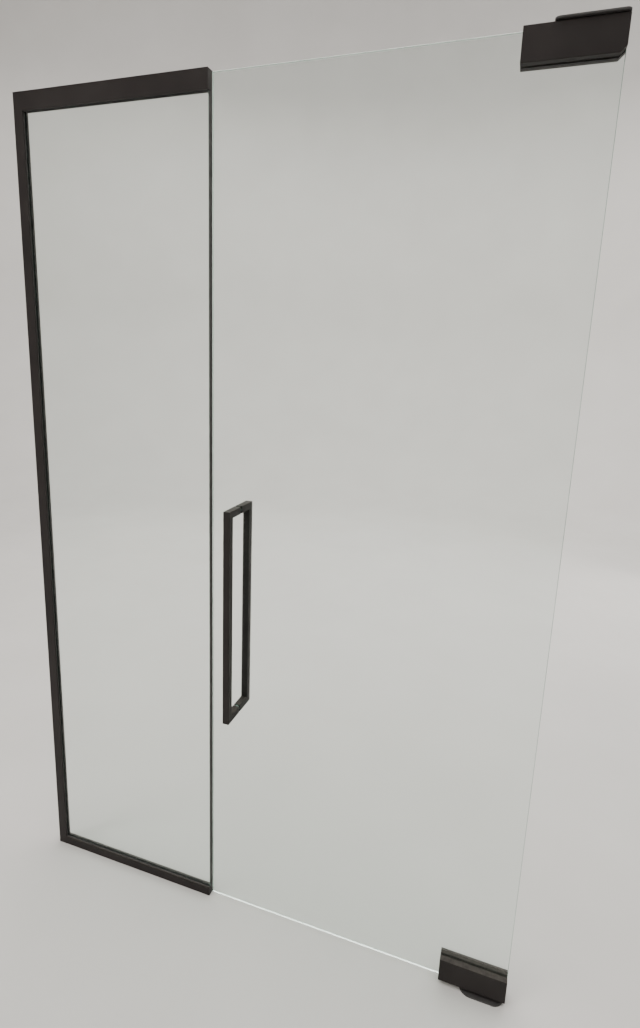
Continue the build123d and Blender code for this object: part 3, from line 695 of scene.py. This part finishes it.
# %% One turned sheet
def bowl(name, profile, steps):
    """A smooth bowl: a profile of (radius, height) points turned about Z, closed by a flat middle."""
    turns = [math.tau * step / steps for step in range(steps)]
    points = [(r * math.cos(a), r * math.sin(a), z) for r, z in profile for a in turns]
    faces = [tuple(range(steps))]
    for ring in range(len(profile) - 1):
        first = ring * steps
        for i in range(steps):
            j = (i + 1) % steps
            faces.append((first + i, first + steps + i, first + steps + j, first + j))
    mesh = bpy.data.meshes.new(name)
    mesh.from_pydata(points, [], faces)
    for face in mesh.polygons:
        face.use_smooth = True
    return add_object(name, mesh)


FLAT, CURVE, WALL = 5.2, 2.6, 9.0
BEND_STEP, BOWL_STEPS = 6, 96
bend = [math.radians(angle) for angle in range(0, 91, BEND_STEP)]
curve = [(FLAT + CURVE * math.sin(a), CURVE * (1 - math.cos(a))) for a in bend]
profile = [(FLAT / 2, 0.0)] + curve + [(FLAT + CURVE, WALL)]
floor = bowl("studio_floor", profile, BOWL_STEPS)
print("floor:", len(floor.data.polygons), "faces")

# %% Pale matt paint for it
pale, tree, shader = new_finish("pale_floor", IOR=1.45, Specular_IOR_Level=0.3)
colour_by(tree, shader, cloud(tree, 0.5, 3.0), (0.485, 0.472, 0.455), (0.510, 0.497, 0.480))
gloss_by(tree, shader, noise(tree, 0.08, 3.0), 0.45, 0.60)
floor.data.materials.append(pale)
print("floor paint:", pale.name)

# %% [markdown]
# ## Light
#
# Black metal is drawn by what it mirrors, and clear glass even more so. A large panel overhead
# lights the upper faces of the sill and the fittings, as a lit ceiling does, and it is the only
# lamp that mirrors and glass show. Two weaker panels, one in front on the left and one behind on
# the right, lift the upright faces, and a third washes the wall behind. The sky over the open bowl
# glows softly, more overhead than at the horizon.

# %% Panels and sky
def soft_panel(name, place, aim, size, power, colour, mirrored=True):
    """A rectangular lamp turned to face a point. Mirrors and glass show it only if it is mirrored."""
    light = bpy.data.lights.new(name, "AREA")
    light.shape = "RECTANGLE"
    light.size, light.size_y = size
    light.energy = power
    light.color = colour
    lamp = add_object(name, light)
    lamp.visible_camera = False
    lamp.visible_glossy = lamp.visible_transmission = mirrored
    turn = (Vector(aim) - Vector(place)).to_track_quat("-Z", "Y").to_matrix().to_4x4()
    lamp.matrix_world = Matrix.Translation(place) @ turn


soft_panel("overhead", (0.0, 1.0, 5.4), (0.0, 1.0, 0.0), (7.0, 9.0), 660, (1.0, 0.975, 0.94))
soft_panel(
    "front_left", (-3.6, -3.4, 2.6), (0.0, 0.0, 1.2), (1.6, 2.6), 130, (1.0, 0.97, 0.94), mirrored=False
)
soft_panel(
    "back_right", (2.3, 3.6, 1.3), (0.0, 0.0, 1.0), (1.6, 2.0), 20, (1.0, 0.98, 0.96), mirrored=False
)
soft_panel(
    "backdrop_wash", (0.0, 2.4, 5.0), (0.0, 7.5, 2.6), (8.0, 2.0), 330, (1.0, 0.98, 0.95), mirrored=False
)
sky = bpy.data.worlds.new("studio_sky")
sky.use_nodes = True
sky_tree = sky.node_tree
sky_light = sky_tree.nodes["Background"]
sky_light.inputs["Color"].default_value = (0.95, 0.95, 0.95, 1)
direction = sky_tree.nodes.new("ShaderNodeTexCoord")
tilt = sky_tree.nodes.new("ShaderNodeSeparateXYZ")
sky_tree.links.new(direction.outputs["Generated"], tilt.inputs["Vector"])
glow = spread(sky_tree, tilt.outputs["Z"], 0.35, 0.75, start=0.0, end=0.8)
sky_tree.links.new(glow, sky_light.inputs["Strength"])
bpy.context.scene.world = sky
print("lights ready")

# %% [markdown]
# ## Camera
#
# The camera stands where the photographer stood: a little above eye height on the right, looking
# down to the left, with a wide lens. Its axes were worked out from the straight edges of the
# entrance, whose real places are known, so it is set by axes and not by a target. The picture is
# taller than it is wide, so the sensor's long side is upright.

# %% Place, axes and lens
PICTURE = (640, 1028)
FOCAL_PIXELS = 583.735
CENTRE_PIXELS = (322.156, 476.175)
eye = Vector((0.6487, -1.4263, 1.7619))
right = Vector((0.944879, 0.325230, 0.037798))
down = Vector((0.101736, -0.181904, -0.978039))
ahead = right.cross(down)
lens = bpy.data.cameras.new("photo_camera")
lens.sensor_width = 36.0
lens.lens = FOCAL_PIXELS / PICTURE[1] * lens.sensor_width
lens.shift_x = (PICTURE[0] / 2 - CENTRE_PIXELS[0]) / PICTURE[1]
lens.shift_y = (CENTRE_PIXELS[1] - PICTURE[1] / 2) / PICTURE[1]
lens.clip_start, lens.clip_end = 0.05, 60.0
camera = add_object("photo_camera", lens)
camera.matrix_world = Matrix.Translation(eye) @ Matrix((right, -down, -ahead)).transposed().to_4x4()
bpy.context.scene.camera = camera
print("lens", round(lens.lens, 2), "mm, shift", round(lens.shift_x, 4), round(lens.shift_y, 4))
